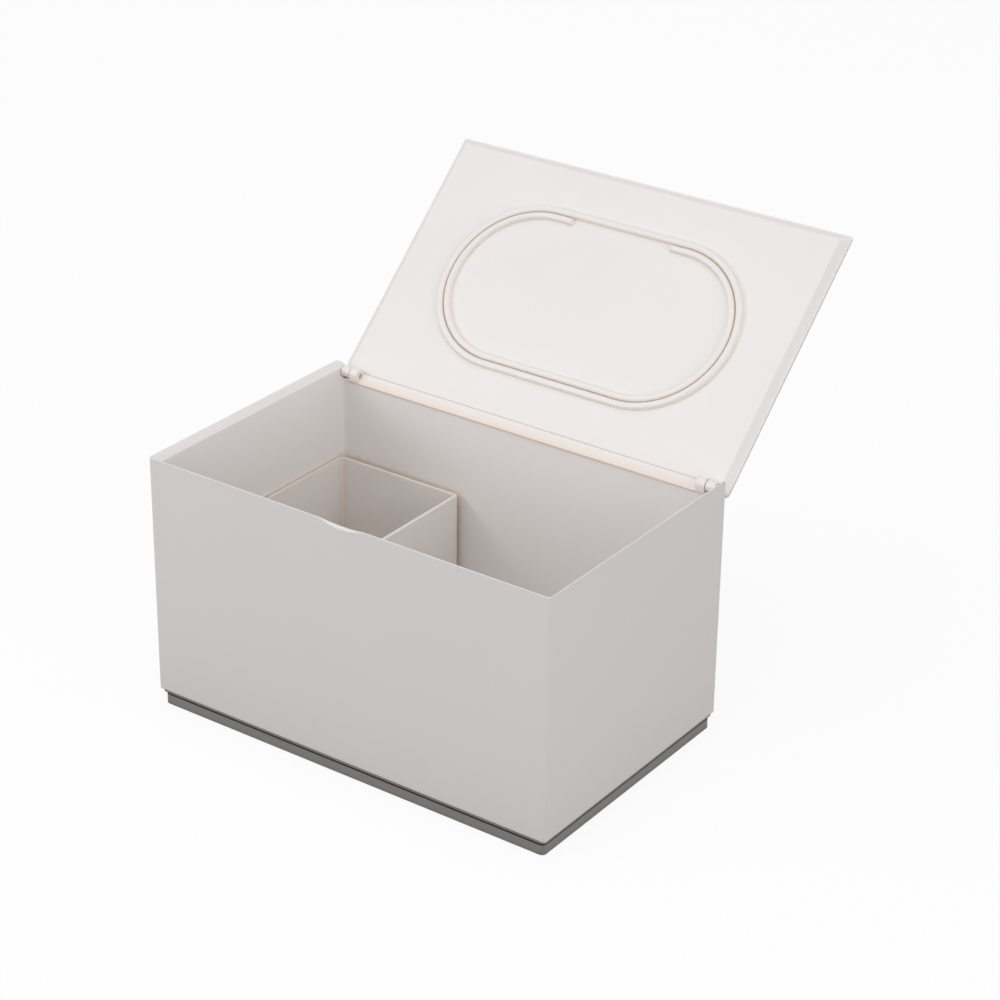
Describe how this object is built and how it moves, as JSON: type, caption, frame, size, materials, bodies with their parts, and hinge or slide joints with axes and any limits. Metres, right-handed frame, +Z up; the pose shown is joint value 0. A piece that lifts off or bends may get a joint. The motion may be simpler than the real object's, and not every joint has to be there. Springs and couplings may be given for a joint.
{
  "type": "hinged lid cotton box",
  "caption": "Rectangular white plastic cotton box with a bevelled lid hinged at the back, a lift-out inner tray and a recessed grey plinth.",
  "frame": {"origin": "in the middle of the plinth's underside, which the rubber pads hold 0.5 mm off the table", "axes": "+Z up, +Y towards the hinge at the back, +X to the right along the front"},
  "size_m": [0.19, 0.208, 0.1831],
  "materials": {
    "shell_white": "satin white moulded plastic",
    "tray_white": "satin white moulded plastic, slightly warm",
    "plinth_grey": "fine matte grey moulded plastic",
    "pin_steel": "bright drawn wire",
    "pad_rubber": "matte grey rubber"
  },
  "bodies": {
    "box": {"box_shell": "shell_white", "base_plate": "plinth_grey", "hinge_pin_left": "pin_steel", "hinge_pin_right": "pin_steel", "anti_slip_pad_front_left": "pad_rubber", "anti_slip_pad_front_right": "pad_rubber", "anti_slip_pad_rear_left": "pad_rubber", "anti_slip_pad_rear_right": "pad_rubber"},
    "lid": {"lid": "shell_white"},
    "tray": {"cotton_tray": "tray_white"}
  },
  "joints": [
    {"name": "lid_hinge", "type": "hinge", "parent": "box", "child": "lid", "pos_m": [0, 0.05795, 0.1062], "axis": [1, 0, 0], "range_deg": [0, 137.4]},
    {"name": "tray_lift", "type": "slide", "parent": "box", "child": "tray", "axis": [0, 0, 1], "range_m": [0, 0.115]}
  ]
}
